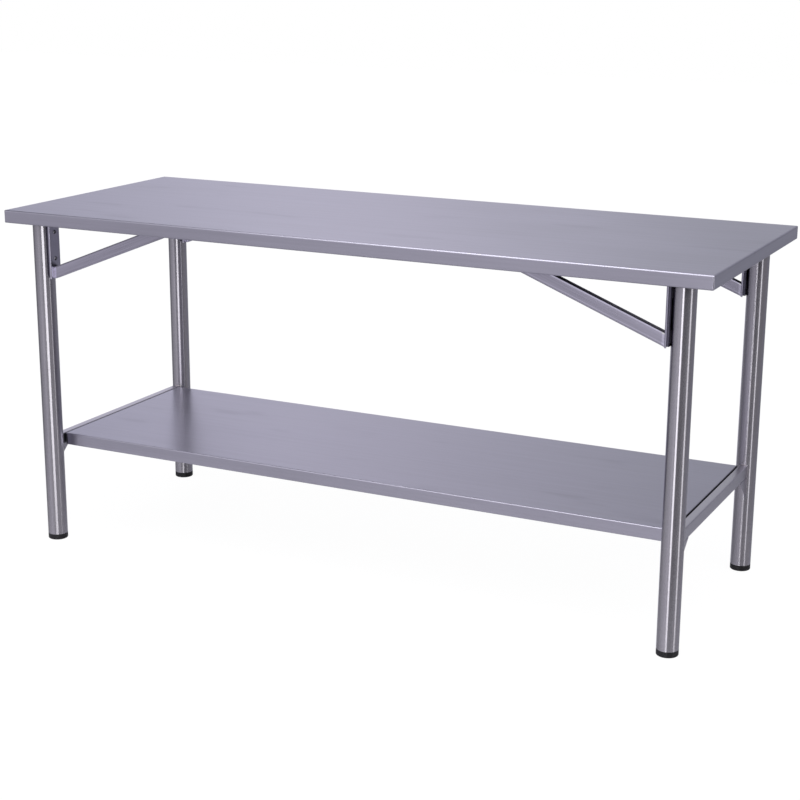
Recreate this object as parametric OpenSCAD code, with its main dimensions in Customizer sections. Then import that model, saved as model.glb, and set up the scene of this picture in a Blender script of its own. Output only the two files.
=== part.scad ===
// Stainless steel work table: folded worktop on four tube legs, with corner brackets and an undershelf.
// The origin is on the floor below the table's centre. X is the length, -Y the front and Z up.

/* [Worktop] */
// Length of the worktop
top_l = 1800; // [1400:10:2200]
// Depth of the worktop, front to back
top_d = 700; // [600:10:850]
// Height of the working surface above the floor
table_h = 860; // [800:5:950]
// Height of the folded apron
apron_h = 32; // [30:1:50]
// Sheet thickness of the worktop
top_t = 1.5; // [1:0.1:2]
// Width of the return flange folded in below the apron
top_return = 15; // [10:1:20]
// Outer radius of the worktop's bends
top_bend_r = 4; // [2.2:0.1:5]
// Outer radius of the worktop's ground corner welds
top_corner_r = 3; // [2.2:0.1:5]

/* [Underframe channels] */
// Width of the flat web of a hat channel
channel_w = 42; // [40:1:50]
// Depth of a hat channel below the sheet
channel_h = 24; // [18:1:27]
// Width of each glued flange of a hat channel
channel_flange = 12; // [8:1:14]
// Sheet thickness of the hat channels
channel_t = 1.5; // [1:0.1:2]
// Outer bend radius of the hat channels
channel_bend_r = 2.6; // [2.2:0.1:4]
// Distance from each lengthwise channel's end to the worktop's end
channel_end_gap = 22; // [20:1:40]
// Number of cross channels
cross_count = 3; // [2:1:5]
// Spacing of the cross channels
cross_pitch = 440; // [300:10:460]

/* [Legs] */
// Outer diameter of the leg tubes
leg_d = 50; // [48:1:54]
// Wall of the leg tubes
leg_t = 1.5; // [1.2:0.1:2]
// Leg centre to the worktop's end
leg_inset_x = 75; // [65:1:120]
// Leg centre to the worktop's front or rear edge
leg_inset_y = 54; // [48:1:80]
// Thickness of the cap on each tube's top end
cap_t = 2; // [1.5:0.5:4]
// Depth of the cap's spigot in the tube
cap_spigot = 6; // [4:1:12]

/* [Leg saddles] */
// Width of the saddle channel welded to each leg
saddle_w = 36; // [30:0.5:36]
// Sheet thickness of the saddles
saddle_t = 2; // [1.5:0.1:2.5]
// Depth to which the saddle's back wall is hollowed for the tube
saddle_seat = 1; // [0.6:0.1:1.2]
// Distance of the saddle's lower end above the upright's
saddle_up = 3; // [1:0.5:15]

/* [Brackets] */
// Width of the upright channel
upright_w = 40; // [40:0.5:42]
// Sheet thickness of the uprights
upright_t = 2; // [1.5:0.1:2]
// Depth of the upright's flanges, web included
upright_flange = 5; // [4:0.5:7]
// Outer bend radius of the uprights and saddles
upright_bend_r = 3; // [2.6:0.1:3.5]
// Distance between the upright's web and the tube
upright_gap = 10; // [9.5:0.5:14]
// Length of the bracket below the worktop's surface
bracket_drop = 169.5; // [150:0.5:220]
// Width of the diagonal brace channel
brace_w = 20; // [16:1:30]
// Depth of the brace channel across its slope
brace_h = 28; // [22:1:32]
// Sheet thickness of the braces
brace_t = 1.5; // [1:0.1:2]
// Outer bend radius of the braces
brace_r = 2.5; // [2.1:0.1:4]
// Length of the brace along the table, at its lower edge
brace_reach = 369; // [280:1:420]
// Depth of the corner that is trimmed off the brace's lower end
brace_trim = 1.5; // [0:0.5:6]
// Depth of the upper bracket screws below the working surface
screw_drop = 54; // [44:1:60]
// Spacing of the two screws in a bracket
screw_pitch = 66; // [50:1:75]

/* [End rails] */
// Width of the end rails
rail_w = 20; // [18:1:30]
// Height of the end rails
rail_h = 30; // [26:1:40]
// Wall of the end rails
rail_t = 1.5; // [1.2:0.1:2]
// Outer corner radius of the end rails
rail_r = 2.5; // [2.1:0.1:4]
// Length of a gusset along the rail
gusset_l = 60; // [40:1:80]
// Length of a gusset down the leg
gusset_h = 55; // [35:1:70]
// Thickness of a gusset
gusset_t = 2.5; // [2:0.5:5]
// Radius of the gusset's hollow edge
gusset_r = 300; // [80:5:400]

/* [Shelf] */
// Height of the shelf's surface above the floor
shelf_z = 276; // [150:1:450]
// Height of the shelf's folded lips
shelf_lip = 31; // [28:1:40]
// Sheet thickness of the shelf
shelf_t = 1.2; // [1:0.1:1.5]
// Width of the return flange below the shelf's front and rear lips
shelf_return = 12; // [8:1:16]
// Outer radius of the shelf's bends
shelf_bend_r = 3; // [1.8:0.1:3.5]
// Gap between the shelf's end and the end rail, filled by the rivet nuts' flanges
shelf_end_gap = 3; // [1:0.5:4]
// Gap between the shelf's front edge and the legs
shelf_side_gap = 8.5; // [4:0.5:20]
// Width of the slot between the front lip's end and the end lip
shelf_slot = 4.5; // [2:0.5:10]
// Depth of the shelf's hat channel below its sheet
shelf_channel_h = 24; // [18:1:26]
// Distance of the shelf bolts from the table's centre line
shelf_bolt_y = 180; // [120:5:200]

/* [Feet] */
// Height of the screw-in foot
foot_h = 11; // [8:0.5:16]
// Radius of the foot's lower edge
foot_round = 2.5; // [1:0.5:4]
// Thickness of the insert's flange below the tube
insert_flange = 3.5; // [3:0.5:6]
// Depth of the insert in the tube
insert_depth = 30; // [26:1:45]
// Wall of the insert's sleeve
insert_wall = 2.5; // [2:0.5:4]
// Diameter of the insert's boss round its nut
boss_d = 27; // [25:1:30]
// Number of ribs between the insert's sleeve and boss
rib_count = 8; // [4:1:10]
// Thickness of an insert's rib
rib_t = 2; // [1.5:0.5:3]
// Height of an insert's rib above the flange
rib_h = 20; // [10:1:24]
// Diameter of the foot's threaded stud
stud_d = 10; // [8:1:10]
// Length of the stud above the foot
stud_l = 42; // [36:1:60]
// Depth of the stud in the foot
stud_seat = 5; // [4:0.5:6]
// Width across flats of the insert's nut
foot_nut_af = 17; // [17:0.5:19]
// Thickness of the insert's nut
foot_nut_h = 8; // [6:0.5:10]
// Height of the insert's nut above the tube's lower end
foot_nut_up = 2; // [1:0.5:5]

/* [Fasteners] */
// Diameter of the bracket screws and the shelf bolts
screw_d = 6; // [5:0.5:6]
// Diameter of a bracket screw's button head
button_d = 10.5; // [9.5:0.5:12]
// Height of a bracket screw's button head
button_h = 3.3; // [2.5:0.1:4]
// Width across flats of the hexagon socket
socket_af = 4; // [3:0.5:5]
// Depth of the hexagon socket
socket_h = 2; // [1:0.1:2.2]
// Width across flats of the bracket nuts and the bolt heads
hex_af = 10; // [9:0.5:11]
// Thickness of the bracket nuts
nut_h = 5; // [4:0.5:5]
// Height of the shelf bolts' hexagon heads
bolt_head_h = 4; // [3:0.5:5]
// Diameter of a rivet nut's barrel
barrel_d = 9; // [8.5:0.5:10]
// Diameter of a rivet nut's flange
rivet_flange_d = 14; // [12:0.5:16]
// Length of a rivet nut's barrel behind its flange
barrel_l = 11; // [9:1:14]

/* [Fits] */
// Radial clearance of screws and bolts in their holes
hole_clear = 0.3; // [0.2:0.05:0.6]
// Radial clearance of the studs in their nuts
stud_clear = 0.05; // [0.02:0.01:0.09]
// Radial clearance of pieces seated on or in a tube
seat_clear = 0.05; // [0.02:0.01:0.2]

/* [Hidden] */

STEEL = "#A3A2B2";
STEEL_SIDE = "#8B8995";
TUBE = "#85838C";
BRIGHT = "#B9B8C2";
BLACK = "#15151A";

round_fn = 48;
bend_fn = 24;
eps = 0.01;
reach = 10;

leg_r = leg_d / 2;
leg_x = top_l / 2 - leg_inset_x;
leg_y = top_d / 2 - leg_inset_y;
sheet_z = table_h - top_t;
channel_z = sheet_z - channel_h;
channel_span = channel_w + 2 * channel_flange;
tube_bottom = foot_h + insert_flange;
tube_top = channel_z - cap_t;
web_x = leg_x - leg_r - upright_gap;
saddle_x = leg_x - leg_r + saddle_seat;
bracket_z = table_h - bracket_drop;
brace_z = bracket_z - brace_trim;
brace_angle = atan((channel_z - brace_z) / brace_reach);
nut_x = saddle_x - saddle_t - nut_h;
dome_r = (button_d * button_d / 4 + button_h * button_h) / (2 * button_h);
// Centre of the gusset's hollow edge, in the plane of the leg and rail.
gusset_chord = norm([gusset_l, gusset_h]);
gusset_sink = sqrt(gusset_r * gusset_r - gusset_chord * gusset_chord / 4);
gusset_centre = [
    -gusset_l / 2 - gusset_sink * gusset_h / gusset_chord,
    -gusset_h / 2 - gusset_sink * gusset_l / gusset_chord
];
rail_in = leg_x - rail_w / 2;
shelf_half_l = rail_in - shelf_end_gap;
shelf_half_d = leg_y - leg_r - shelf_side_gap;
bolt_z = shelf_z - rail_h / 2;
foot_nut_z = tube_bottom + foot_nut_up;

module at_corner(sx, sy) mirror([sx < 0 ? 1 : 0, 0, 0]) mirror([0, sy < 0 ? 1 : 0, 0]) children();
module at_corners() for (sx = [-1, 1], sy = [-1, 1]) at_corner(sx, sy) children();
module along_x(half, z) translate([-half, 0, z]) rotate([90, 0, 90]) linear_extrude(2 * half) children();
module along_y(half, z) translate([0, half, z]) rotate([90, 0, 0]) linear_extrude(2 * half) children();

// Outline with four round corners, centred on its lower edge.
module round_bar(w, h, r) {
    translate([-w / 2 + r, 0]) square([w - 2 * r, h]);
    translate([-w / 2, r]) square([w, h - 2 * r]);
    for (sx = [-1, 1], y = [r, h - r]) translate([sx * (w / 2 - r), y]) circle(r, $fn = bend_fn);
}

// Block with its edges rounded as bent sheet: two bend profiles crossed, and cut to the plan's corners.
module bent_block(l, d, h, bend, corner) {
    intersection() {
        along_x(l / 2 + reach, 0) round_bar(d, h, bend);
        along_y(d / 2 + reach, 0) round_bar(l, h, bend);
        translate([0, -d / 2, -reach]) linear_extrude(h + 2 * reach) round_bar(l, d, corner);
    }
}

// Folded pan with its sheet on top, and return flanges of the given widths at the ends and sides.
module pan(l, d, h, t, bend, corner, return_x, return_y) {
    difference() {
        bent_block(l, d, h, bend, corner);
        translate([0, 0, t]) bent_block(l - 2 * t, d - 2 * t, h - 2 * t, bend - t, corner - t);
        translate([-l / 2 + return_x, -d / 2 + return_y, -reach])
            cube([l - 2 * return_x, d - 2 * return_y, reach + h / 2]);
    }
}

// Channel section, web down, centred on its web's outer face and open at the given depth.
module channel_bar(w, depth, t, r) {
    difference() {
        round_bar(w, 2 * depth, r);
        translate([0, t]) round_bar(w - 2 * t, 2 * depth, r - t);
        translate([-w, depth]) square([2 * w, 2 * depth]);
    }
}

// Hat section, web down, centred, with its flanges' upper faces at the given depth.
module hat(depth) {
    bend_x = channel_w / 2 + channel_bend_r - channel_t;
    channel_bar(channel_w, depth - channel_bend_r, channel_t, channel_bend_r);
    for (s = [0, 1]) mirror([s, 0]) {
        translate([bend_x, depth - channel_bend_r]) intersection() {
            difference() {
                circle(channel_bend_r, $fn = bend_fn);
                circle(channel_bend_r - channel_t, $fn = bend_fn);
            }
            translate([-channel_bend_r, 0]) square(channel_bend_r);
        }
        translate([bend_x, depth - channel_t]) square([channel_span / 2 - bend_x, channel_t]);
    }
}

module ring(r_out, r_in, h) {
    difference() {
        cylinder(h = h, r = r_out, $fn = round_fn);
        translate([0, 0, -eps]) cylinder(h = h + 2 * eps, r = r_in, $fn = round_fn);
    }
}

module hexagon(af, h) cylinder(h = h, r = af / sqrt(3), $fn = 6);

module leg_space(clear) translate([leg_x, leg_y, 0]) cylinder(h = table_h, r = leg_r + clear, $fn = round_fn);

// Screw axes of one bracket, running outwards from the upright's web.
module screw_places() {
    for (i = [0, 1]) translate([web_x, leg_y, table_h - screw_drop - i * screw_pitch])
        rotate([0, 90, 0]) children();
}

// Bolt axes of one quarter of the shelf, running outwards from the shelf's end.
module bolt_place() translate([shelf_half_l, shelf_bolt_y, bolt_z]) rotate([0, 90, 0]) children();

module top_panel() color(STEEL) translate([0, 0, table_h - apron_h])
    pan(top_l, top_d, apron_h, top_t, top_bend_r, top_corner_r, top_return, top_return);

module top_channel(sy) color(STEEL_SIDE) translate([0, sy * leg_y, 0])
    along_x(top_l / 2 - channel_end_gap, channel_z) hat(channel_h);

module cross_channels() color(STEEL_SIDE) {
    for (i = [0 : cross_count - 1]) translate([(i - (cross_count - 1) / 2) * cross_pitch, 0, 0])
        along_y(leg_y - channel_span / 2, channel_z) hat(channel_h);
}

module leg() color(TUBE) translate([leg_x, leg_y, tube_bottom])
    ring(leg_r, leg_r - leg_t, tube_top - tube_bottom);

module leg_cap() color(TUBE) translate([leg_x, leg_y, tube_top]) {
    cylinder(h = cap_t, r = leg_r, $fn = round_fn);
    translate([0, 0, -cap_spigot]) cylinder(h = cap_spigot, r = leg_r - leg_t - seat_clear, $fn = round_fn);
}

// Channel hollowed for the tube, with its flanges inside the upright's and clear of the upright's bends.
module saddle() color(STEEL_SIDE) difference() {
    translate([saddle_x, leg_y, bracket_z + saddle_up]) rotate(90)
        linear_extrude(channel_z - bracket_z - saddle_up)
            channel_bar(saddle_w, saddle_x - web_x - upright_bend_r, saddle_t, upright_bend_r);
    leg_space(seat_clear);
}

module upright() color(STEEL) difference() {
    translate([web_x, leg_y, bracket_z]) rotate(-90) linear_extrude(channel_z - bracket_z)
        channel_bar(upright_w, upright_flange, upright_t, upright_bend_r);
    screw_places() translate([0, 0, -eps])
        cylinder(h = upright_t + 2 * eps, r = screw_d / 2 + hole_clear, $fn = round_fn);
}

// Channel open upwards, from the upright's web up to the lengthwise channel, cut off flat against both.
module brace() color(STEEL) intersection() {
    translate([web_x, leg_y, brace_z]) rotate([0, 180 + brace_angle, 0]) mirror([0, 0, 1])
        translate([-brace_h, 0, 0]) rotate([90, 0, 90]) linear_extrude(2 * brace_reach)
            channel_bar(brace_w, brace_h, brace_t, brace_r);
    translate([0, leg_y - brace_w, bracket_z]) cube([web_x, 2 * brace_w, channel_z - bracket_z]);
}

module bracket_screw() color(BRIGHT) difference() {
    union() {
        intersection() {
            translate([0, 0, dome_r - button_h]) sphere(dome_r, $fn = round_fn);
            translate([0, 0, -button_h]) cylinder(h = button_h, r = button_d, $fn = round_fn);
        }
        translate([0, 0, -eps]) cylinder(h = nut_x - web_x + nut_h, r = screw_d / 2, $fn = round_fn);
    }
    translate([0, 0, -button_h - eps]) hexagon(socket_af, socket_h + eps);
}

module bracket_nut() color(BRIGHT) translate([0, 0, nut_x - web_x]) difference() {
    hexagon(hex_af, nut_h);
    translate([0, 0, -eps]) cylinder(h = nut_h + 2 * eps, r = screw_d / 2 + stud_clear, $fn = round_fn);
}

module end_rail() color(TUBE) difference() {
    translate([leg_x, 0, 0]) along_y(leg_y, shelf_z - rail_h) difference() {
        round_bar(rail_w, rail_h, rail_r);
        translate([0, rail_t]) round_bar(rail_w - 2 * rail_t, rail_h - 2 * rail_t, rail_r - rail_t);
    }
    for (sy = [-1, 1]) {
        mirror([0, sy < 0 ? 1 : 0, 0]) leg_space(seat_clear);
        mirror([0, sy < 0 ? 1 : 0, 0]) bolt_place()
            cylinder(h = shelf_end_gap + rail_t + eps, r = barrel_d / 2 + seat_clear, $fn = round_fn);
    }
}

// Plate flush with the rail's outer face, between the rail and the leg.
module gusset() color(TUBE) difference() {
    translate([leg_x + rail_w / 2 - gusset_t, leg_y - leg_r, shelf_z - rail_h]) rotate([90, 0, 90])
        linear_extrude(gusset_t) difference() {
            polygon([[leg_r, 0], [-gusset_l, 0], [0, -gusset_h], [leg_r, -gusset_h]]);
            translate(gusset_centre) circle(gusset_r, $fn = round_fn * 2);
        }
    leg_space(seat_clear);
}

module shelf_panel() color(STEEL) difference() {
    translate([0, 0, shelf_z - shelf_lip])
        pan(2 * shelf_half_l, 2 * shelf_half_d, shelf_lip, shelf_t, shelf_bend_r, shelf_bend_r,
            shelf_t, shelf_return);
    at_corners() {
        translate([shelf_half_l - shelf_t, shelf_half_d - shelf_return - eps, shelf_z - shelf_lip - eps])
            mirror([1, 0, 0]) cube([shelf_slot, shelf_return + reach, shelf_lip - shelf_bend_r]);
        bolt_place() translate([0, 0, -shelf_t - eps])
            cylinder(h = shelf_t + 2 * eps, r = screw_d / 2 + hole_clear, $fn = round_fn);
    }
}

module shelf_channel() color(STEEL_SIDE)
    along_x(shelf_half_l - shelf_bend_r, shelf_z - shelf_t - shelf_channel_h) hat(shelf_channel_h);

module shelf_bolt() color(BRIGHT) {
    translate([0, 0, -shelf_t - bolt_head_h]) hexagon(hex_af, bolt_head_h);
    translate([0, 0, -shelf_t - eps])
        cylinder(h = shelf_t + shelf_end_gap + barrel_l + eps, r = screw_d / 2, $fn = round_fn);
}

module rivet_nut() color(BRIGHT) difference() {
    union() {
        cylinder(h = shelf_end_gap, r = rivet_flange_d / 2, $fn = round_fn);
        cylinder(h = shelf_end_gap + barrel_l, r = barrel_d / 2, $fn = round_fn);
    }
    translate([0, 0, -eps])
        cylinder(h = shelf_end_gap + barrel_l + 2 * eps, r = screw_d / 2 + stud_clear, $fn = round_fn);
}

// Plastic sleeve and ribbed boss in the tube, with the flange that shows below it.
module insert() color(BLACK) translate([leg_x, leg_y, foot_h]) difference() {
    union() {
        cylinder(h = insert_flange, r = leg_r, $fn = round_fn);
        ring(leg_r - leg_t - seat_clear, leg_r - leg_t - insert_wall, insert_flange + insert_depth);
        cylinder(h = insert_flange + insert_depth, r = boss_d / 2, $fn = round_fn);
        intersection() {
            for (i = [0 : rib_count - 1]) rotate(i * 360 / rib_count) translate([0, -rib_t / 2, 0])
                cube([leg_r, rib_t, insert_flange + rib_h]);
            cylinder(h = table_h, r = leg_r - leg_t - insert_wall / 2, $fn = round_fn);
        }
    }
    translate([0, 0, -eps])
        cylinder(h = insert_flange + insert_depth + 2 * eps, r = stud_d / 2 + hole_clear, $fn = round_fn);
    translate([0, 0, foot_nut_z - foot_h]) hexagon(foot_nut_af + 2 * seat_clear, foot_nut_h);
}

module insert_nut() color(BRIGHT) translate([leg_x, leg_y, foot_nut_z]) difference() {
    hexagon(foot_nut_af, foot_nut_h);
    translate([0, 0, -eps]) cylinder(h = foot_nut_h + 2 * eps, r = stud_d / 2 + stud_clear, $fn = round_fn);
}

// Round foot with a rounded lower edge and a seat for its stud.
module foot() color(BLACK) translate([leg_x, leg_y, 0]) difference() {
    rotate_extrude($fn = round_fn) {
        square([leg_r - foot_round, foot_h]);
        translate([0, foot_round]) square([leg_r, foot_h - foot_round]);
        translate([leg_r - foot_round, foot_round]) intersection() {
            circle(foot_round, $fn = bend_fn);
            translate([0, -foot_round]) square(foot_round);
        }
    }
    translate([0, 0, foot_h - stud_seat]) cylinder(h = stud_seat + eps, r = stud_d / 2, $fn = round_fn);
}

module stud() color(BRIGHT) translate([leg_x, leg_y, foot_h - stud_seat])
    cylinder(h = stud_seat + stud_l, r = stud_d / 2, $fn = round_fn);

top_panel();
top_channel(-1);  // top_channel_front
top_channel(1);  // top_channel_rear
cross_channels();
at_corner(-1, -1) leg();  // leg_front_left
at_corner(1, -1) leg();  // leg_front_right
at_corner(-1, 1) leg();  // leg_rear_left
at_corner(1, 1) leg();  // leg_rear_right
at_corners() leg_cap();  // leg_caps
at_corner(-1, -1) saddle();  // saddle_front_left
at_corner(1, -1) saddle();  // saddle_front_right
at_corner(-1, 1) saddle();  // saddle_rear_left
at_corner(1, 1) saddle();  // saddle_rear_right
at_corner(-1, -1) upright();  // upright_front_left
at_corner(1, -1) upright();  // upright_front_right
at_corner(-1, 1) upright();  // upright_rear_left
at_corner(1, 1) upright();  // upright_rear_right
at_corner(-1, -1) brace();  // brace_front_left
at_corner(1, -1) brace();  // brace_front_right
at_corner(-1, 1) brace();  // brace_rear_left
at_corner(1, 1) brace();  // brace_rear_right
at_corners() screw_places() bracket_screw();  // bracket_screws
at_corners() screw_places() bracket_nut();  // bracket_nuts
at_corner(-1, 1) end_rail();  // end_rail_left
at_corner(1, 1) end_rail();  // end_rail_right
at_corner(-1, -1) gusset();  // gusset_front_left
at_corner(1, -1) gusset();  // gusset_front_right
at_corner(-1, 1) gusset();  // gusset_rear_left
at_corner(1, 1) gusset();  // gusset_rear_right
shelf_panel();
shelf_channel();
at_corners() bolt_place() shelf_bolt();  // shelf_bolts
at_corners() bolt_place() rivet_nut();  // shelf_rivet_nuts
at_corner(-1, -1) insert();  // insert_front_left
at_corner(1, -1) insert();  // insert_front_right
at_corner(-1, 1) insert();  // insert_rear_left
at_corner(1, 1) insert();  // insert_rear_right
at_corners() insert_nut();  // insert_nuts
at_corner(-1, -1) foot();  // foot_front_left
at_corner(1, -1) foot();  // foot_front_right
at_corner(-1, 1) foot();  // foot_rear_left
at_corner(1, 1) foot();  // foot_rear_right
at_corner(-1, -1) stud();  // stud_front_left
at_corner(1, -1) stud();  // stud_front_right
at_corner(-1, 1) stud();  // stud_rear_left
at_corner(1, 1) stud();  // stud_rear_right
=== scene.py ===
"""Finishes, welds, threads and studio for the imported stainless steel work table."""

import math

import bpy
from mathutils import Matrix, Vector


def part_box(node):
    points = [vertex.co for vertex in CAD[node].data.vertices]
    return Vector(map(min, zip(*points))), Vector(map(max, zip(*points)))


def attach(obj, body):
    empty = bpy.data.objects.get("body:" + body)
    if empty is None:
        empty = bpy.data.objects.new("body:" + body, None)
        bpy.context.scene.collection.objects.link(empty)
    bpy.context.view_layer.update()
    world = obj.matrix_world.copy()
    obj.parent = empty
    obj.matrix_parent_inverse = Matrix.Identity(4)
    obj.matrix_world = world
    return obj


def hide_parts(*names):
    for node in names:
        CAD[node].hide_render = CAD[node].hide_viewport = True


bl_info = {
    "name": "Stainless Steel Work Table",
    "version": (1, 0, 0),
    "blender": (4, 5, 0),
    "location": "3D View > Sidebar > Work Table",
    "description": "Brushed and polished steel, weld beads, threads and a studio for the work table",
    "category": "Add Mesh",
}

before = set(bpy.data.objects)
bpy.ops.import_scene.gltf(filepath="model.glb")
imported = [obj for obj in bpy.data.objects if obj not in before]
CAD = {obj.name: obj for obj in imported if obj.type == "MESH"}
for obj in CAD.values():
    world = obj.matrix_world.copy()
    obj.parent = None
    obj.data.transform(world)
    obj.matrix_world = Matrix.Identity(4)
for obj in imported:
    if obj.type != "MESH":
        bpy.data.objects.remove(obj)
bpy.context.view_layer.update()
MM = 0.001
CORNERS = [(side, end) for side in ("front", "rear") for end in ("left", "right")]
# Vertices closer than this are merged.
MERGE = 0.001 * MM
# Most of a noise texture's values lie between these two.
NOISE = (0.3, 0.7)


def linear(code):
    """The linear colour of an sRGB hex value."""
    parts = [int(code[i : i + 2], 16) / 255 for i in (1, 3, 5)]
    return tuple(p / 12.92 if p <= 0.04045 else ((p + 0.055) / 1.055) ** 2.4 for p in parts)


def rgba(colour):
    """A colour with full alpha."""
    return (*colour, 1.0)


# ---- shader trees


def put(tree, kind, inputs=None, stops=None, **settings):
    """Adds a node, gives it its settings and colour stops, and fills or links its inputs."""
    node = tree.nodes.new("ShaderNode" + kind)
    for name, value in settings.items():
        setattr(node, name, value)
    for key, value in (inputs or {}).items():
        if isinstance(value, bpy.types.NodeSocket):
            tree.links.new(value, node.inputs[key])
        else:
            node.inputs[key].default_value = value
    if stops:
        elements = node.color_ramp.elements
        while len(elements) > 1:
            elements.remove(elements[-1])
        for i, (place, colour) in enumerate(stops):
            element = elements[0] if i == 0 else elements.new(place)
            element.position = place
            element.color = rgba(colour)
    return node


def math_of(tree, operation, *values):
    """The result of a sum on values or sockets."""
    return put(tree, "Math", dict(enumerate(values)), operation=operation).outputs[0]


def mix_of(tree, factor, a, b, blend_type="MIX"):
    """Two colours mixed by a factor."""
    inputs = {"Factor": factor, "A": a, "B": b}
    return put(tree, "Mix", inputs, data_type="RGBA", blend_type=blend_type).outputs[2]


def noise_at(tree, place, scale, detail, **inputs):
    """Noise on a place that is stretched by a scale for each axis."""
    stretched = put(tree, "Mapping", {"Vector": place, "Scale": scale}).outputs[0]
    inputs = {"Vector": stretched, "Scale": 1.0, "Detail": detail, **inputs}
    return put(tree, "TexNoise", inputs).outputs[0]


def spread(tree, value, low, high, new_low, new_high):
    """A value's range mapped smoothly to another range."""
    limits = {"From Min": low, "From Max": high, "To Min": new_low, "To Max": new_high}
    node = put(tree, "MapRange", {"Value": value, **limits}, interpolation_type="SMOOTHSTEP")
    return node.outputs["Result"]


def new_material(name):
    """An empty material and its tree."""
    material = bpy.data.materials.new(name)
    material.use_nodes = True
    material.node_tree.nodes.clear()
    return material, material.node_tree


def close_material(tree, shader):
    """Joins a shader to the material's output."""
    put(tree, "OutputMaterial", {"Surface": shader.outputs[0]})


def dress(material, *nodes):
    """Gives CAD nodes a material."""
    for name in nodes:
        mesh = CAD[name].data
        mesh.materials.clear()
        mesh.materials.append(material)


def along_slope(tree, place, slope):
    """A place, mirrored to the right half and turned so that its X runs along the slope."""
    apart = put(tree, "SeparateXYZ", {"Vector": place}).outputs
    outwards = math_of(tree, "ABSOLUTE", apart["X"])
    same = put(tree, "CombineXYZ", {"X": outwards, "Y": apart["Y"], "Z": apart["Z"]}).outputs[0]
    return put(tree, "Mapping", {"Vector": same, "Rotation": (0, -slope, 0)}).outputs[0]


def channel_wear_and_painted_light(tree, tone, dull, place, channel):
    """A channel's tone and roughness: its ground end, painted light on its edges and bends,
    and painted shade inside, where it is also duller.

    The channel gives its middle's Y, its half width, where its ground end starts, and the height
    of its upper edge and its depth, both square to its slope.
    """
    apart = put(tree, "SeparateXYZ", {"Vector": put(tree, "TexCoord").outputs["Object"]}).outputs
    # The end that was welded is ground bright again.
    outwards = math_of(tree, "ABSOLUTE", apart["X"])
    start = channel["ground_from"]
    full = start + 2 * MM
    ground = spread(tree, outwards, start, full, 1.0, 1.35)
    # A painted highlight brightens the right braces' edges and a line beside their bends.
    # Painted shade darkens the left braces' edges, and no line shows on them.
    right = math_of(tree, "GREATER_THAN", apart["X"], 0.0)
    edge_light_and_shade = spread(tree, right, 0.0, 1.0, 0.6, 1.7)
    bend_line_highlight = spread(tree, right, 0.0, 1.0, 1.0, 1.25)
    height = put(tree, "SeparateXYZ", {"Vector": place}).outputs["Z"]
    down = math_of(tree, "SUBTRACT", channel["edge"], height)
    painted_edge, painted_edge_end = 2.4 * MM, 3.8 * MM
    worn = spread(tree, down, painted_edge, painted_edge_end, edge_light_and_shade, 1.0)
    line, line_half, line_end = channel["depth"] - 6 * MM, 0.6 * MM, 1.6 * MM
    beside = math_of(tree, "ABSOLUTE", math_of(tree, "SUBTRACT", down, line))
    painted_bend_line = spread(tree, beside, line_half, line_end, bend_line_highlight, 1.0)
    # Painted shade darkens the bend below the line a little.
    bend, bend_full = channel["depth"] - 5 * MM, channel["depth"] - 4 * MM
    painted_bend_shade = spread(tree, down, bend, bend_full, 1.0, 0.85)
    for share in (ground, worn, painted_bend_line, painted_bend_shade):
        tone = math_of(tree, "MULTIPLY", tone, share)
    # Inside, painted shade darkens the sheet, and its mill finish is duller.
    wall_middle = channel["half"] - 0.75 * MM
    off = math_of(tree, "SUBTRACT", math_of(tree, "ABSOLUTE", apart["Y"]), channel["middle"])
    inner = math_of(tree, "LESS_THAN", math_of(tree, "ABSOLUTE", off), wall_middle)
    facing = put(tree, "SeparateXYZ", {"Vector": put(tree, "NewGeometry").outputs["Normal"]})
    not_under = math_of(tree, "GREATER_THAN", facing.outputs["Z"], -0.5)
    inner = math_of(tree, "MULTIPLY", inner, not_under)
    tone = math_of(tree, "MULTIPLY", tone, spread(tree, inner, 0.0, 1.0, 1.0, 0.3))
    dull = math_of(tree, "MULTIPLY_ADD", inner, 0.2, dull)
    return tone, dull


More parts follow.
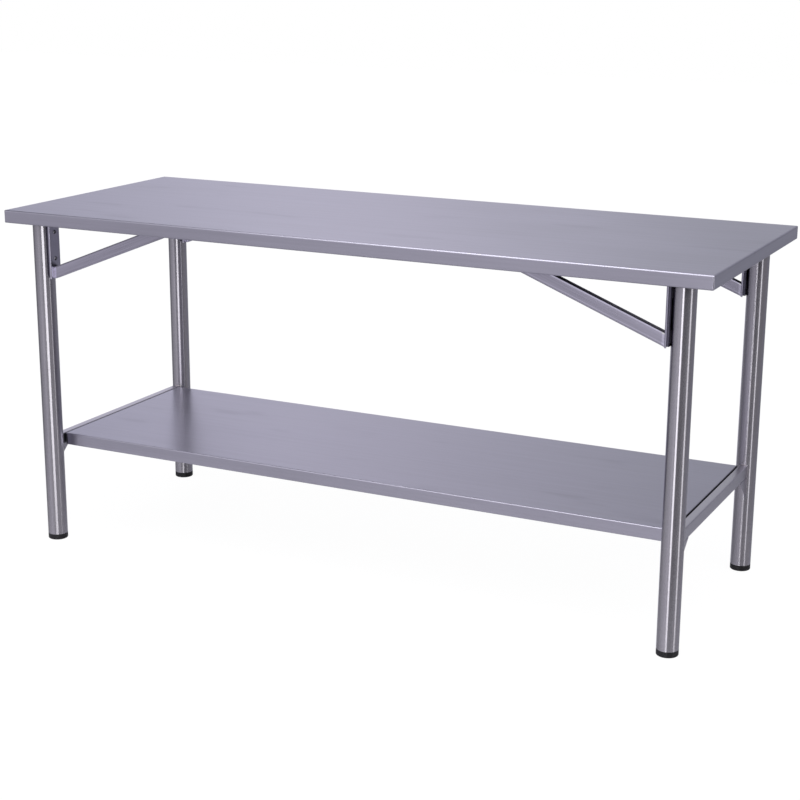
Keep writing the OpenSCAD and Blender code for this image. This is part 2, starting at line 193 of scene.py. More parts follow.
def brushed_sheet(
    name,
    colour,
    grain,
    cloud,
    roughness,
    anisotropy,
    streaks=0.02,
    run="X",
    slope=0.0,
    channel=None,
    end_shade=1.0,
):
    """Stainless sheet, brushed lengthwise, so that reflections spread across its grain.

    The grain is a length and a width. It runs along X, turned by the slope, and along Y on end
    faces, or all along Y. The cloud is the size of the faint patches. A channel has wear and
    painted light of its own. End shade is painted shade that darkens faces which look along X.
    """
    material, tree = new_material(name)
    place = put(tree, "TexCoord").outputs["Object"]
    if slope:
        place = along_slope(tree, place, slope)
    normal = put(tree, "NewGeometry").outputs["Normal"]
    facing = put(tree, "SeparateXYZ", {"Vector": normal}).outputs
    sideways = math_of(tree, "ABSOLUTE", facing["X"])
    # Faces that look mostly along X are end faces.
    end_on = 1.0 if run == "Y" else math_of(tree, "GREATER_THAN", sideways, 0.75)
    long, wide = 1 / grain[0], 1 / grain[1]
    along = put(tree, "Mapping", {"Vector": place, "Scale": (long, wide, wide)}).outputs[0]
    turned = put(tree, "Mapping", {"Vector": place, "Scale": (wide, long, wide)}).outputs[0]
    ways = {"Factor": end_on, "A": along, "B": turned}
    way = put(tree, "Mix", ways, data_type="VECTOR").outputs[1]
    fine = {"Vector": way, "Scale": 1.0, "Detail": 3.0, "Roughness": 0.6}
    lines = put(tree, "TexNoise", fine).outputs[0]
    bands = put(tree, "TexNoise", {"Vector": way, "Scale": 0.25, "Detail": 2.0}).outputs[0]
    clouds = noise_at(tree, place, (1 / cloud, 2 / cloud, 2 / cloud), 3.0)
    # Wiping and handling leave soft faint marks, about four times as long as they are wide.
    wipes = noise_at(tree, place, (2 / cloud, 8 / cloud, 8 / cloud), 2.0)
    marks = spread(tree, wipes, 0.58, 0.78, 0.0, 1.0)
    tone = spread(tree, clouds, *NOISE, 0.97, 1.03)
    for streak in (lines, bands):
        share = spread(tree, streak, *NOISE, 1 - streaks, 1 + streaks)
        tone = math_of(tree, "MULTIPLY", tone, share)
    tone = math_of(tree, "MULTIPLY", tone, spread(tree, marks, 0.0, 1.0, 1.0, 0.93))
    dull = spread(tree, clouds, *NOISE, roughness - 0.01, roughness + 0.015)
    dull = math_of(tree, "MULTIPLY_ADD", marks, 0.015, dull)
    if channel:
        tone, dull = channel_wear_and_painted_light(tree, tone, dull, place, channel)
    # Painted shade: faces that look along X are darkened by the end shade.
    if end_shade < 1.0:
        tone = math_of(tree, "MULTIPLY", tone, spread(tree, sideways, 0.43, 0.6, 1.0, end_shade))
    base = mix_of(tree, 1.0, rgba(colour), tone, "MULTIPLY")
    bump = {"Height": lines, "Strength": 0.1, "Distance": 0.02 * MM}
    relief = put(tree, "Bump", bump).outputs[0]
    grain_way = (0.05, 1.0, 0.0) if run == "Y" else (1.0, 0.05, 0.0)
    pair = {0: normal, 1: grain_way}
    across = put(tree, "VectorMath", pair, operation="CROSS_PRODUCT").outputs[0]
    shader = put(
        tree,
        "BsdfPrincipled",
        {
            "Base Color": base,
            "Metallic": 1.0,
            "Roughness": dull,
            "Anisotropic": anisotropy,
            "Normal": relief,
            "Tangent": across,
        },
    )
    close_material(tree, shader)
    return material


def polished_tube(name, colour, roughness, anisotropy):
    """Stainless tube, belt polished round its girth, with crisp highlights down its length."""
    material, tree = new_material(name)
    place = put(tree, "TexCoord").outputs["Object"]
    # The belt leaves rings under 1 mm apart. They are drawn at about 4 mm so that they show.
    rings = noise_at(tree, place, (4.0, 4.0, 250.0), 1.0)
    clouds = noise_at(tree, place, (14.0, 14.0, 5.0), 3.0)
    tone = spread(tree, clouds, *NOISE, 0.97, 1.03)
    tone = math_of(tree, "MULTIPLY", tone, spread(tree, rings, *NOISE, 0.99, 1.01))
    base = mix_of(tree, 1.0, rgba(colour), tone, "MULTIPLY")
    dull = spread(tree, clouds, 0.35, 0.7, roughness - 0.01, roughness + 0.02)
    upright = put(tree, "CombineXYZ", {"Z": 1.0}).outputs[0]
    shader = put(
        tree,
        "BsdfPrincipled",
        {
            "Base Color": base,
            "Metallic": 1.0,
            "Roughness": dull,
            "Anisotropic": anisotropy,
            "Tangent": upright,
        },
    )
    close_material(tree, shader)
    return material


def weld_metal(name, colour, hollows):
    """Stainless weld metal, with heat tint in the hollows of its ripples."""
    material, tree = new_material(name)
    place = put(tree, "TexCoord").outputs["Object"]
    spots = noise_at(tree, place, (400.0, 400.0, 400.0), 3.0)
    tint = spread(tree, spots, 0.4, 0.65, 0.0, 0.5)
    base = mix_of(tree, tint, rgba(colour), rgba(hollows))
    bump = {"Height": spots, "Strength": 0.25, "Distance": 0.1 * MM}
    relief = put(tree, "Bump", bump).outputs[0]
    dull = spread(tree, spots, 0.35, 0.65, 0.26, 0.42)
    inputs = {"Base Color": base, "Metallic": 1.0, "Roughness": dull, "Normal": relief}
    close_material(tree, put(tree, "BsdfPrincipled", inputs))
    return material


def moulded_plastic(name, colour):
    """Black moulded polyethylene: a faint grain, scuffed grey on its lower edge."""
    material, tree = new_material(name)
    place = put(tree, "TexCoord").outputs["Object"]
    height = put(tree, "SeparateXYZ", {"Vector": place}).outputs["Z"]
    grain = noise_at(tree, place, (1800.0, 1800.0, 1800.0), 2.0)
    scuffs = noise_at(tree, place, (240.0, 240.0, 240.0), 4.0, Roughness=0.7)
    low = spread(tree, height, 0.0, 4 * MM, 1.0, 0.0)
    worn = math_of(tree, "MULTIPLY", low, spread(tree, scuffs, 0.5, 0.65, 0.0, 0.6))
    base = mix_of(tree, worn, rgba(colour), rgba(linear("#4A494E")))
    bump = {"Height": grain, "Strength": 0.3, "Distance": 0.05 * MM}
    relief = put(tree, "Bump", bump).outputs[0]
    dull = spread(tree, scuffs, 0.4, 0.7, 0.42, 0.58)
    inputs = {"Base Color": base, "Roughness": dull, "Normal": relief}
    close_material(tree, put(tree, "BsdfPrincipled", inputs))
    return material


# ---- pieces


def only(piece):
    """Makes a piece the one selected and active object."""
    bpy.ops.object.select_all(action="DESELECT")
    piece.select_set(True)
    bpy.context.view_layer.objects.active = piece


def settle(piece, material, body="table"):
    """Gives a piece its finish, and lets it ride on a body."""
    piece.data.materials.clear()
    piece.data.materials.append(bpy.data.materials[material])
    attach(piece, body)


def new_piece(name, mesh):
    """An object for a mesh, at the origin."""
    piece = bpy.data.objects.new(name, mesh)
    bpy.context.scene.collection.objects.link(piece)
    return piece


def at_corners(piece, name):
    """The front right piece and a mirrored copy for each other corner, by corner."""
    found = {}
    for side, end in CORNERS:
        if (side, end) == ("front", "right"):
            found[side, end] = piece
            continue
        mirror = Matrix.Diagonal((1 if end == "right" else -1, 1 if side == "front" else -1, 1, 1))
        mesh = piece.data.copy()
        mesh.transform(mirror)
        if mirror.determinant() < 0:
            mesh.flip_normals()
        found[side, end] = new_piece(f"{name}_{side}_{end}", mesh)
    return found


def evenly(corners, step):
    """Points at even steps along a line through corners."""
    corners = [Vector(c) for c in corners]
    points = [corners[0]]
    spare = 0.0
    for a, b in zip(corners, corners[1:]):
        length = (b - a).length
        place = step - spare
        while place <= length:
            points.append(a.lerp(b, place / length))
            place += step
        spare = length - (place - step)
    return points


def bead(name, lines, radius):
    """A weld bead along lines: overlapping ripples, thinner where it starts and stops."""
    bpy.ops.object.select_all(action="DESELECT")
    bpy.ops.curve.primitive_nurbs_path_add(location=(0, 0, 0))
    piece = bpy.context.object
    piece.name = name
    curve = piece.data
    curve.splines.clear()
    curve.dimensions = "3D"
    curve.bevel_depth = radius
    curve.bevel_resolution = 1
    curve.use_fill_caps = True
    step, steps_per_ripple = 0.4 * MM, 4
    for corners in lines:
        points = evenly(corners, step)
        last = len(points) - 1
        spline = curve.splines.new("POLY")
        spline.points.add(last)
        for i, place in enumerate(points):
            # The bead swells to its full size over six steps at each end.
            swell = min(1.0, 0.4 + 0.1 * min(i, last - i))
            ripple = 0.86 + 0.14 * abs(math.sin(math.pi * i / steps_per_ripple))
            spline.points[i].co = (*place, 1.0)
            spline.points[i].radius = swell * ripple
    only(piece)
    bpy.ops.object.convert(target="MESH")
    bpy.ops.object.mode_set(mode="EDIT")
    bpy.ops.mesh.select_all(action="SELECT")
    bpy.ops.mesh.remove_doubles(threshold=MERGE)
    bpy.ops.mesh.normals_make_consistent(inside=False)
    bpy.ops.object.mode_set(mode="OBJECT")
    bpy.ops.object.shade_smooth_by_angle(angle=math.radians(50))
    return bpy.context.object


def lay(name, lines, radius, material):
    """Lays a bead at each corner of the table."""
    piece = bead(f"{name}_front_right", lines, radius)
    for laid in at_corners(piece, name).values():
        settle(laid, material)


# ---- settings


class FinishSettings(bpy.types.PropertyGroup):
    """Colours and roughness of the steel and plastic finishes."""

    sheet_colour: bpy.props.FloatVectorProperty(
        name="Sheet colour",
        description="Colour of the brushed worktop and shelf sheet",
        subtype="COLOR",
        default=linear("#BBB9C6"),
    )
    channel_colour: bpy.props.FloatVectorProperty(
        name="Channel colour",
        description="Colour of the mill finish channels",
        subtype="COLOR",
        default=linear("#8F8E98"),
    )
    # The saddles' dark colour is painted shade, for the gap between the uprights and the legs.
    saddle_shade_colour: bpy.props.FloatVectorProperty(
        name="Saddle colour",
        description="Colour of the dull saddles that hold the legs",
        subtype="COLOR",
        default=linear("#5A5866"),
    )
    tube_colour: bpy.props.FloatVectorProperty(
        name="Tube colour",
        description="Colour of the polished leg tubes",
        subtype="COLOR",
        default=linear("#B9B6BD"),
    )
    rail_colour: bpy.props.FloatVectorProperty(
        name="Rail colour",
        description="Colour of the satin end rails and gussets",
        subtype="COLOR",
        default=linear("#C4C1C9"),
    )
    bracket_colour: bpy.props.FloatVectorProperty(
        name="Bracket colour",
        description="Colour of the brushed brackets",
        subtype="COLOR",
        default=linear("#B5B2C2"),
    )
    brace_colour: bpy.props.FloatVectorProperty(
        name="Brace colour",
        description="Colour of the brushed diagonal braces",
        subtype="COLOR",
        default=linear("#BDBAC9"),
    )
    fastener_colour: bpy.props.FloatVectorProperty(
        name="Fastener colour",
        description="Colour of the screws, bolts and nuts",
        subtype="COLOR",
        default=linear("#84838B"),
    )
    plastic_colour: bpy.props.FloatVectorProperty(
        name="Plastic colour",
        description="Colour of the feet and their inserts",
        subtype="COLOR",
        default=linear("#101013"),
    )
    brace_slope: bpy.props.FloatProperty(
        name="Brace slope",
        description="Slope of the braces, which their grain follows",
        default=math.radians(21.5),
        subtype="ANGLE",
    )
    sheet_roughness: bpy.props.FloatProperty(
        name="Sheet roughness",
        description="Roughness of the brushed sheet",
        default=0.29,
        min=0.05,
        max=1.0,
    )
    tube_roughness: bpy.props.FloatProperty(
        name="Tube roughness",
        description="Roughness of the polished tubes",
        default=0.25,
        min=0.05,
        max=1.0,
    )


class DetailSettings(bpy.types.PropertyGroup):
    """Sizes of the welds, threads and rounded edges."""

    rail_bead: bpy.props.FloatProperty(
        name="Rail weld",
        description="Radius of the weld beads round the end rails",
        default=1.7 * MM,
        unit="LENGTH",
    )
    fine_bead: bpy.props.FloatProperty(
        name="Fine weld",
        description="Radius of the weld beads on gussets, braces and saddles",
        default=1.2 * MM,
        unit="LENGTH",
    )
    thread_pitch: bpy.props.FloatProperty(
        name="Thread pitch",
        description="Pitch of the studs' coarse thread",
        default=1.5 * MM,
        unit="LENGTH",
    )
    thread_depth: bpy.props.FloatProperty(
        name="Thread depth",
        description="Depth of the studs' thread",
        default=0.85 * MM,
        unit="LENGTH",
    )
    edge_radius: bpy.props.FloatProperty(
        name="Edge radius",
        description="Radius to which the braces' sheet edges are rounded",
        default=0.65 * MM,
        unit="LENGTH",
    )


class StudioSettings(bpy.types.PropertyGroup):
    """Strengths of the studio's lights."""

    key_watts: bpy.props.FloatProperty(
        name="Key light",
        description="Power of the long softbox in front",
        default=46.0,
        min=0.0,
    )
    side_watts: bpy.props.FloatProperty(
        name="Side light",
        description="Power of the narrow softbox at the right",
        default=3.0,
        min=0.0,
    )
    top_watts: bpy.props.FloatProperty(
        name="Top light",
        description="Power of the softbox overhead",
        default=8.0,
        min=0.0,
    )


# ---- operators


class WORKTABLE_OT_finish_sheet(bpy.types.Operator):
    """Give the worktop, shelf and channels their sheet finishes"""

    bl_idname = "worktable.finish_sheet"
    bl_label = "Finish the Sheet"

    def execute(self, context):
        look = context.scene.worktable_finish
        # The real grain is under 1 mm wide; it is drawn at 3 mm so that it shows on the aprons.
        # Painted shade darkens the shelf's bent ends, in the narrow gaps beside the rails.
        for name, node, end_shade in (
            ("brushed_304_sheet", "top_panel", 1.0),
            ("brushed_shelf_sheet", "shelf_panel", 0.1),
        ):
            sheet = brushed_sheet(
                name,
                tuple(look.sheet_colour),
                grain=(220 * MM, 3 * MM),
                cloud=0.5,
                roughness=look.sheet_roughness,
                anisotropy=0.75,
                end_shade=end_shade,
            )
            dress(sheet, node)
        channel = brushed_sheet(
            "mill_finish_channel",
            tuple(look.channel_colour),
            grain=(60 * MM, 3 * MM),
            cloud=0.2,
            roughness=0.4,
            anisotropy=0.4,
        )
        dress(channel, "top_channel_front", "top_channel_rear", "cross_channels", "shelf_channel")
        return {"FINISHED"}


class WORKTABLE_OT_finish_tubes(bpy.types.Operator):
    """Give the legs, end rails and gussets their polished finish, and make the weld metal"""

    bl_idname = "worktable.finish_tubes"
    bl_label = "Finish the Tubes"

    def execute(self, context):
        look = context.scene.worktable_finish
        tube = polished_tube(
            "polished_304_tube",
            tuple(look.tube_colour),
            look.tube_roughness,
            anisotropy=1.0,
        )
        dress(tube, "leg_caps", *(f"leg_{side}_{end}" for side, end in CORNERS))
        rail = brushed_sheet(
            "satin_304_rail",
            tuple(look.rail_colour),
            grain=(120 * MM, 2 * MM),
            cloud=0.2,
            roughness=0.3,
            anisotropy=0.5,
            run="Y",
        )
        gussets = (f"gusset_{side}_{end}" for side, end in CORNERS)
        dress(rail, "end_rail_left", "end_rail_right", *gussets)
        weld_metal("brushed_weld_metal", linear("#B9B5BC"), linear("#9C8F86"))
        # The saddles' welds are darkened with painted shade, for the gap beside the legs.
        weld_metal("shaded_weld_metal", linear("#4A4852"), linear("#38353A"))
        return {"FINISHED"}


class WORKTABLE_OT_finish_brackets(bpy.types.Operator):
    """Give the uprights and fasteners their finishes, and make the braces' finish"""

    bl_idname = "worktable.finish_brackets"
    bl_label = "Finish the Brackets"

    def execute(self, context):
        look = context.scene.worktable_finish
        bracket = brushed_sheet(
            "brushed_bracket_sheet",
            tuple(look.bracket_colour),
            grain=(60 * MM, 2 * MM),
            cloud=0.15,
            roughness=0.32,
            anisotropy=0.6,
        )
        dress(bracket, *(f"upright_{side}_{end}" for side, end in CORNERS))
        # The saddles' dark colour is painted shade, for the narrow gap beside the legs.
        saddle = brushed_sheet(
            "shaded_saddle_sheet",
            tuple(look.saddle_shade_colour),
            grain=(30 * MM, 2 * MM),
            cloud=0.08,
            roughness=0.45,
            anisotropy=0.3,
        )
        dress(saddle, *(f"saddle_{side}_{end}" for side, end in CORNERS))
        low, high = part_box("brace_front_right")
        rise, run = math.sin(look.brace_slope), math.cos(look.brace_slope)
        # How high each vertex lies, square to the slope.
        brace = CAD["brace_front_right"].data
        heights = [v.co.x * rise + v.co.z * run for v in brace.vertices]
        brushed_sheet(
            "brushed_brace_sheet",
            tuple(look.brace_colour),
            grain=(90 * MM, 2.5 * MM),
            cloud=0.25,
            roughness=0.28,
            anisotropy=0.8,
            streaks=0.05,
            slope=look.brace_slope,
            channel={
                "middle": -(low.y + high.y) / 2,
                "half": (high.y - low.y) / 2,
                "ground_from": high.x - 9 * MM,
                "edge": max(heights),
                "depth": max(heights) - min(heights),
            },
        )
        fastener = brushed_sheet(
            "stainless_fastener",
            tuple(look.fastener_colour),
            grain=(8 * MM, 0.8 * MM),
            cloud=0.02,
            roughness=0.34,
            anisotropy=0.2,
        )
        nuts = ("bracket_nuts", "shelf_rivet_nuts", "insert_nuts")
        dress(fastener, "bracket_screws", "shelf_bolts", *nuts)
        return {"FINISHED"}


class WORKTABLE_OT_finish_plastic(bpy.types.Operator):
    """Give the feet and inserts their moulded plastic"""

    bl_idname = "worktable.finish_plastic"
    bl_label = "Finish the Plastic"

    def execute(self, context):
        look = context.scene.worktable_finish
        plastic = moulded_plastic("moulded_polyethylene", tuple(look.plastic_colour))
        for side, end in CORNERS:
            dress(plastic, f"foot_{side}_{end}", f"insert_{side}_{end}")
        return {"FINISHED"}


class WORKTABLE_OT_round_braces(bpy.types.Operator):
    """Round the sheet edges of the diagonal braces"""

    bl_idname = "worktable.round_braces"
    bl_label = "Round the Braces"

    def execute(self, context):
        piece = new_piece("rounded_brace_front_right", CAD["brace_front_right"].data.copy())
        only(piece)
        bpy.ops.mesh.customdata_custom_splitnormals_clear()
        bpy.ops.object.mode_set(mode="EDIT")
        bpy.ops.mesh.select_mode(type="EDGE")
        bpy.ops.mesh.select_all(action="SELECT")
        bpy.ops.mesh.remove_doubles(threshold=MERGE)
        bpy.ops.mesh.dissolve_limited(angle_limit=math.radians(1))
        bpy.ops.mesh.select_all(action="DESELECT")
        bpy.ops.mesh.edges_select_sharp(sharpness=math.radians(50))
        bpy.ops.mesh.bevel(
            offset=context.scene.worktable_detail.edge_radius,
            segments=3,
            profile=0.5,
            affect="EDGES",
            clamp_overlap=True,
        )
        bpy.ops.mesh.select_all(action="SELECT")
        bpy.ops.mesh.normals_make_consistent(inside=False)
        bpy.ops.object.mode_set(mode="OBJECT")
        for (side, end), brace in at_corners(piece, "rounded_brace").items():
            only(brace)
            bpy.ops.object.shade_smooth_by_angle(angle=math.radians(40))
            # The flat faces stay flat beside their rounded edges.
            flat = brace.modifiers.new("flat_faces", "WEIGHTED_NORMAL")
            flat.keep_sharp = True
            bpy.ops.object.modifier_apply(modifier=flat.name)
            settle(brace, "brushed_brace_sheet")
            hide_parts(f"brace_{side}_{end}")
        return {"FINISHED"}


class WORKTABLE_OT_lay_welds(bpy.types.Operator):
    """Lay the weld beads of the end rails, gussets, saddles and braces"""

    bl_idname = "worktable.lay_welds"
    bl_label = "Lay the Welds"

    def execute(self, context):
        sizes = context.scene.worktable_detail
        leg_low, leg_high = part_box("leg_front_right")
        axis = (leg_low + leg_high) / 2
        tube = (leg_high.x - leg_low.x) / 2
        rail_low, rail_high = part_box("end_rail_right")
        plate_low, plate_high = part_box("gusset_front_right")
        post_low, post_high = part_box("upright_front_right")
        brace_low, brace_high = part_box("brace_front_right")

        def on_tube(x, z):
            """A point on the tube's rear side, where the rail meets it."""
            return (x, axis.y + math.sqrt(tube**2 - (x - axis.x) ** 2), z)

        # Over the rail, down its inner side and back under it: its outer side is ground flush.
        corner = 2 * MM
        places = [
            (rail_high.x - corner, rail_high.z),
            (axis.x, rail_high.z),
            (rail_low.x + corner, rail_high.z),
            (rail_low.x, rail_high.z - corner),
            (rail_low.x, rail_low.z + corner),
            (rail_low.x + corner, rail_low.z),
            (axis.x, rail_low.z),
            (plate_low.x - corner, rail_low.z),
        ]
        line = [on_tube(x, z) for x, z in places]
        lay("rail_weld", [line], sizes.rail_bead, "brushed_weld_metal")

        # Inside the gusset: down the tube, and along the rail's lower face.
        inner = plate_low.x
        down = [on_tube(inner, rail_low.z - 2 * MM), on_tube(inner, plate_low.z + 3 * MM)]
        first, last = down[0][1] + 1 * MM, plate_high.y - 4 * MM
        back = [(inner, first, rail_low.z), (inner, last, rail_low.z)]
        lay("gusset_weld", [down, back], sizes.fine_bead, "brushed_weld_metal")

        # Two stitches on each side of the saddle's back wall.
        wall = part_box("saddle_front_right")[1].x + 0.6 * MM
        offset, length = 10.5 * MM, 30 * MM
        stitches = [
            [(wall, axis.y + way * offset, z), (wall, axis.y + way * offset, z + length)]
            for way in (-1, 1)
            for z in (post_low.z + 8 * MM, post_high.z - 40 * MM)
        ]
        # These stitches are dark with painted shade.
        lay("saddle_weld", stitches, sizes.fine_bead, "shaded_weld_metal")

        # Down the brace's front side, under it and up its rear side.
        face = post_low.x - 0.2 * MM
        hem = post_low.z + 0.8 * MM
        top = hem + 27 * MM
        line = [
            (face, brace_low.y, top),
            (face, brace_low.y, hem),
            (face, brace_high.y, hem),
            (face, brace_high.y, top),
        ]
        thin = sizes.fine_bead * 0.7
        lay("brace_weld", [line], thin, "brushed_weld_metal")
        return {"FINISHED"}


class WORKTABLE_OT_cut_threads(bpy.types.Operator):
    """Cut the threads of the four studs"""

    bl_idname = "worktable.cut_threads"
    bl_label = "Cut the Threads"

    def execute(self, context):
        sizes = context.scene.worktable_detail
        low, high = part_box("stud_front_right")
        middle = (low + high) / 2
        # The crest stays just inside the CAD stud, and the thread first runs past both its ends.
        clearance = 0.05 * MM
        crest = (high.x - low.x) / 2 - clearance
        root = crest - sizes.thread_depth
        pitch = sizes.thread_pitch
        spare_turns, steps_per_turn = 2, 24
        start = low.z - spare_turns * pitch
        # One tooth, seen from the side: its root, flank, crest and flank.
        tooth = [(root, 0.0), (root, 0.12), (crest, 0.44), (crest, 0.56), (root, 0.88), (root, 1.0)]
        bpy.ops.object.select_all(action="DESELECT")
        bpy.ops.mesh.primitive_circle_add(vertices=len(tooth), radius=crest, location=(0, 0, 0))
        piece = context.object
        piece.name = "threaded_stud_front_right"
        mesh = piece.data
        bpy.ops.object.mode_set(mode="EDIT")
        bpy.ops.mesh.select_mode(type="EDGE")
        bpy.ops.mesh.select_all(action="DESELECT")
        bpy.ops.object.mode_set(mode="OBJECT")
        for edge in mesh.edges:
            edge.select = set(edge.vertices) == {0, len(tooth) - 1}
        bpy.ops.object.mode_set(mode="EDIT")
        bpy.ops.mesh.delete(type="EDGE")
        bpy.ops.object.mode_set(mode="OBJECT")
        for vertex, (radius, share) in zip(mesh.vertices, tooth):
            vertex.co = (radius, 0.0, start + share * pitch)
        screw = piece.modifiers.new("thread", "SCREW")
        screw.axis = "Z"
        screw.screw_offset = pitch
        screw.iterations = math.ceil((high.z - start) / pitch) + spare_turns
        screw.steps = screw.render_steps = steps_per_turn
        bpy.ops.object.modifier_apply(modifier=screw.name)
        bpy.ops.object.mode_set(mode="EDIT")
        # Both ends are cut square and closed.
        for height, keep_above in ((low.z, True), (high.z, False)):
            bpy.ops.mesh.select_all(action="SELECT")
            bpy.ops.mesh.remove_doubles(threshold=MERGE)
            bpy.ops.mesh.bisect(
                plane_co=(0, 0, height),
                plane_no=(0, 0, 1),
                use_fill=True,
                clear_inner=keep_above,
                clear_outer=not keep_above,
            )
        bpy.ops.mesh.select_all(action="SELECT")
        bpy.ops.mesh.normals_make_consistent(inside=False)
        bpy.ops.object.mode_set(mode="OBJECT")
        mesh.transform(Matrix.Translation((middle.x, middle.y, 0)))
        bpy.ops.object.shade_smooth_by_angle(angle=math.radians(30))
        for (side, end), stud in at_corners(piece, "threaded_stud").items():
            settle(stud, "stainless_fastener", f"leveller_{side}_{end}")
            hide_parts(f"stud_{side}_{end}")
        return {"FINISHED"}


# ---- studio

FLOOR_SIZE = 30.0
# Name, place, target, width and height. The upright panels run on below the floor,
# as they do in a glossy floor's reflection.
PANELS = (
    ("key_light", (0.73, -3.4, 0.5), (-0.184, -2.994, 0.5), 1.97, 3.4),
    ("side_light", (1.95, -0.45, 0.5), (0, -0.45, 0.3), 0.3, 2.6),
    ("top_light", (-0.25, -0.9, 2.7), (0.2, -0.2, 0.8), 1.5, 0.9),
)
# The camera was fitted to the photo. Its focal length is in pixels of a picture that wide.
EYE = (1.81472, -3.62905, 1.50884)
YAW, PITCH, ROLL = (math.radians(angle) for angle in (26.29562, 15.25268, -0.33083))
FOCAL_LENGTH, PICTURE_WIDTH = 1687.268, 800
SENSOR_WIDTH = 36.0
# Brightness of the parts of the room that don't change with direction.
RAISED_WALL = (0.75, 0.74, 0.79)
BRIGHT_CEILING = (1.7, 1.68, 1.75)
DIM_CEILING = (0.5, 0.5, 0.57)
DARK_CEILING = (0.1, 0.1, 0.12)


def softbox(name, place, target, width, height, watts):
    """An area light that the camera doesn't see, facing its target."""
    light = bpy.data.lights.new(name, "AREA")
    light.shape = "RECTANGLE"
    light.size = width
    light.size_y = height
    light.energy = watts
    lamp = new_piece(name, light)
    lamp.location = place
    lamp.rotation_euler = (Vector(target) - Vector(place)).to_track_quat("-Z", "Y").to_euler()
    lamp.visible_camera = False
    return lamp


# Brightness of the room's walls, by direction: degrees from straight back, turning right.
WALLS = [
    (-180, 0.42),
    (-168, 0.45),
    (-160, 0.57),
    (-142, 0.49),
    (-112, 0.41),
    (-80, 0.20),
    (-60, 0.34),
    (-40, 0.56),
    (-31, 0.73),
    (-22, 0.54),
    (-13, 0.38),
    (16, 0.29),
    (85, 0.26),
    (115, 0.22),
    (140, 0.11),
    (163, 0.08),
    (172, 0.33),
    (180, 0.42),
]
# Tint of the walls, by direction: faintly violet all round, most of all at the back.
TINTS = [
    (-180, (1.0, 0.98, 1.06)),
    (-130, (1.0, 0.98, 1.08)),
    (-90, (1.0, 1.0, 1.08)),
    (-45, (0.98, 0.98, 1.14)),
    (-28, (1.0, 0.975, 1.095)),
    (-12, (0.97, 1.0, 1.06)),
    (20, (0.98, 0.98, 1.14)),
    (90, (1.0, 0.98, 1.04)),
    (180, (1.0, 0.98, 1.06)),
]


def white_floor():
    """A matt floor: plain white for the camera, and fading into the room for reflections."""
    bpy.ops.object.select_all(action="DESELECT")
    bpy.ops.mesh.primitive_plane_add(size=FLOOR_SIZE, location=(0, 0, 0))
    floor = bpy.context.object
    floor.name = "studio_floor"
    material, tree = new_material("matt_white_floor")
    glow, plain_share = 1.04, 0.93
    paper = put(tree, "BsdfDiffuse", {"Color": rgba(linear("#F2F2F2"))})
    white = put(tree, "Emission", {"Strength": glow})
    rays = put(tree, "LightPath").outputs
    # The camera sees plain white with a trace of the shadow in it.
    seen = math_of(tree, "MULTIPLY", rays["Is Camera Ray"], plain_share)
    both = put(tree, "MixShader", {"Fac": seen, 1: paper.outputs[0], 2: white.outputs[0]})
    # Reflections see it fade into the room with distance, sooner across the table than along it.
    place = put(tree, "TexCoord").outputs["Object"]
    across = put(tree, "VectorMath", {0: place, 1: (1.0, 1.6, 0.0)}, operation="MULTIPLY")
    far = put(tree, "VectorMath", {0: across.outputs[0]}, operation="LENGTH").outputs["Value"]
    near, away, least_gone = 0.5, 2.3, 0.64
    gone = spread(tree, far, near, away, least_gone, 1.0)
    glossy = math_of(tree, "MULTIPLY", rays["Is Glossy Ray"], gone)
    clear = put(tree, "BsdfTransparent")
    faded = put(tree, "MixShader", {"Fac": glossy, 1: both.outputs[0], 2: clear.outputs[0]})
    close_material(tree, faded)
    floor.data.materials.append(material)
    return floor


def reflected_room():
    """A world whose walls and ceiling light the table, while the camera sees plain white."""
    world = bpy.data.worlds.new("studio_room")
    world.use_nodes = True
    tree = world.node_tree
    tree.nodes.clear()
    way = put(tree, "SeparateXYZ", {"Vector": put(tree, "TexCoord").outputs["Generated"]}).outputs
    turn = math_of(tree, "ARCTAN2", way["X"], way["Y"])
    share = math_of(tree, "MULTIPLY_ADD", turn, 1 / math.tau, 0.5)
    stops = [(degrees / 360 + 0.5, (level, level, level)) for degrees, level in WALLS]
    walls = put(tree, "ValToRGB", {"Fac": share}, stops=stops).outputs[0]
    stops = [(degrees / 360 + 0.5, tint) for degrees, tint in TINTS]
    tints = put(tree, "ValToRGB", {"Fac": share}, stops=stops).outputs[0]
    room = mix_of(tree, 1.0, walls, tints, "MULTIPLY")
    room = mix_of(tree, 1.0, room, spread(tree, way["Z"], 0.18, 0.34, 0.985, 1.32), "MULTIPLY")
    # Behind the camera the walls are brighter higher up.
    behind = spread(tree, way["Y"], -0.5, 0.0, 1.0, 0.0)
    raised = math_of(tree, "MULTIPLY", behind, spread(tree, way["Z"], 0.18, 0.3, 0.0, 1.0))
    room = mix_of(tree, raised, room, rgba(RAISED_WALL))
    # The ceiling is bright over the table's front, dim over its rear and dark far to the left.
    ahead = spread(tree, way["Y"], -0.35, 0.15, 1.0, 0.0)
    rightwards = spread(tree, way["X"], -0.64, -0.46, 0.0, 1.0)
    ahead = math_of(tree, "MULTIPLY", ahead, rightwards)
    dim = mix_of(tree, rightwards, rgba(DARK_CEILING), rgba(DIM_CEILING))
    ceiling = mix_of(tree, ahead, dim, rgba(BRIGHT_CEILING))
    room = mix_of(tree, spread(tree, way["Z"], 0.42, 0.68, 0.0, 1.0), room, ceiling)
    rays = put(tree, "LightPath").outputs
    clear = math_of(tree, "MAXIMUM", rays["Is Camera Ray"], rays["Is Transmission Ray"])
    seen = mix_of(tree, clear, room, (1.0, 1.0, 1.0, 1.0))
    back = put(tree, "Background", {"Color": seen, "Strength": 1.0})
    put(tree, "OutputWorld", {"Surface": back.outputs[0]})
    return world


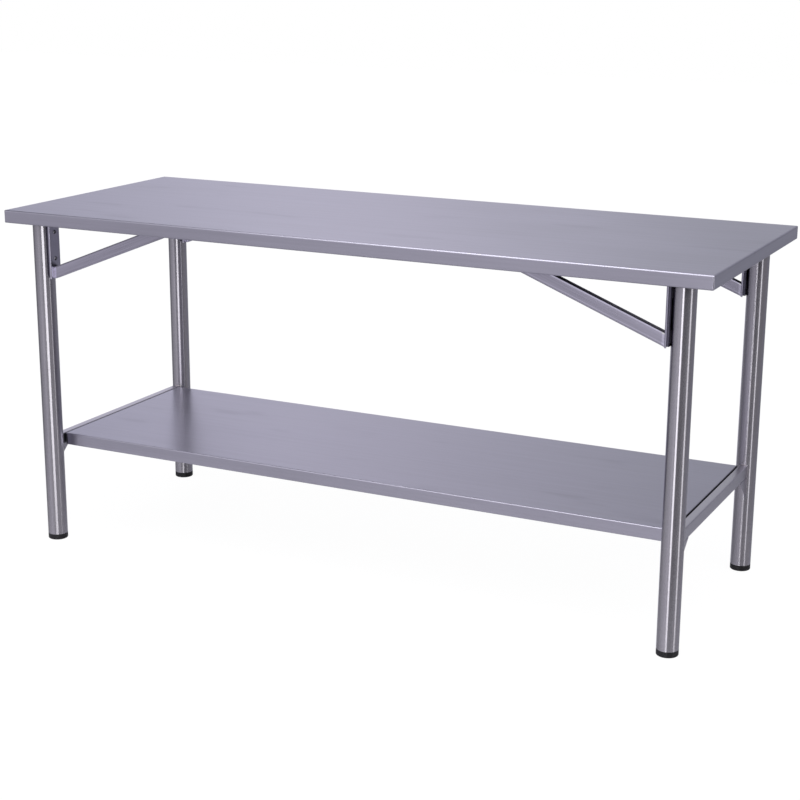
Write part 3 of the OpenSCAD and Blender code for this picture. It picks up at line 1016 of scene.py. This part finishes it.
def fitted_camera():
    """The camera that sees the table as the photo does."""
    ahead = math.cos(PITCH)
    forward = Vector((-math.sin(YAW) * ahead, math.cos(YAW) * ahead, -math.sin(PITCH)))
    level = Vector((math.cos(YAW), math.sin(YAW), 0))
    down = forward.cross(level)
    right = level * math.cos(ROLL) + down * math.sin(ROLL)
    up = level * math.sin(ROLL) - down * math.cos(ROLL)
    camera = bpy.data.cameras.new("camera")
    camera.sensor_width = SENSOR_WIDTH
    camera.lens = SENSOR_WIDTH * FOCAL_LENGTH / PICTURE_WIDTH
    camera.clip_end = 100.0
    eye = new_piece("camera", camera)
    turned = Matrix((right, up, -forward)).transposed().to_4x4()
    eye.matrix_world = Matrix.Translation(EYE) @ turned
    return eye


class WORKTABLE_OT_set_studio(bpy.types.Operator):
    """Set the floor, the lights, the room's reflections and the camera"""

    bl_idname = "worktable.set_studio"
    bl_label = "Set the Studio"

    def execute(self, context):
        scene = context.scene
        studio = scene.worktable_studio
        floor = white_floor()
        powers = (studio.key_watts, studio.side_watts, studio.top_watts)
        for panel, watts in zip(PANELS, powers):
            softbox(*panel, watts)
        scene.world = reflected_room()
        scene.camera = fitted_camera()
        scene.view_settings.view_transform = "Standard"
        return {"FINISHED"}


STEPS = (
    WORKTABLE_OT_finish_sheet,
    WORKTABLE_OT_finish_tubes,
    WORKTABLE_OT_finish_brackets,
    WORKTABLE_OT_finish_plastic,
    WORKTABLE_OT_round_braces,
    WORKTABLE_OT_lay_welds,
    WORKTABLE_OT_cut_threads,
    WORKTABLE_OT_set_studio,
)


class WORKTABLE_PT_steps(bpy.types.Panel):
    """The steps that dress the work table"""

    bl_label = "Work Table"
    bl_idname = "WORKTABLE_PT_steps"
    bl_space_type = "VIEW_3D"
    bl_region_type = "UI"
    bl_category = "Work Table"

    def draw(self, context):
        scene = context.scene
        for step in STEPS:
            self.layout.operator(step.bl_idname)
        for group in (scene.worktable_finish, scene.worktable_detail, scene.worktable_studio):
            box = self.layout.box()
            for name in group.__annotations__:
                box.prop(group, name)


SETTINGS = {
    "worktable_finish": FinishSettings,
    "worktable_detail": DetailSettings,
    "worktable_studio": StudioSettings,
}
CLASSES = (*SETTINGS.values(), *STEPS, WORKTABLE_PT_steps)


def register():
    """Registers the classes and their settings."""
    for item in CLASSES:
        bpy.utils.register_class(item)
    for name, group in SETTINGS.items():
        setattr(bpy.types.Scene, name, bpy.props.PointerProperty(type=group))


def unregister():
    """Removes the settings and the classes."""
    for name in SETTINGS:
        delattr(bpy.types.Scene, name)
    for item in reversed(CLASSES):
        bpy.utils.unregister_class(item)


def main():
    """Runs every step in order."""
    register()
    for step in STEPS:
        group, name = step.bl_idname.split(".")
        getattr(getattr(bpy.ops, group), name)()


if __name__ == "__main__":
    main()
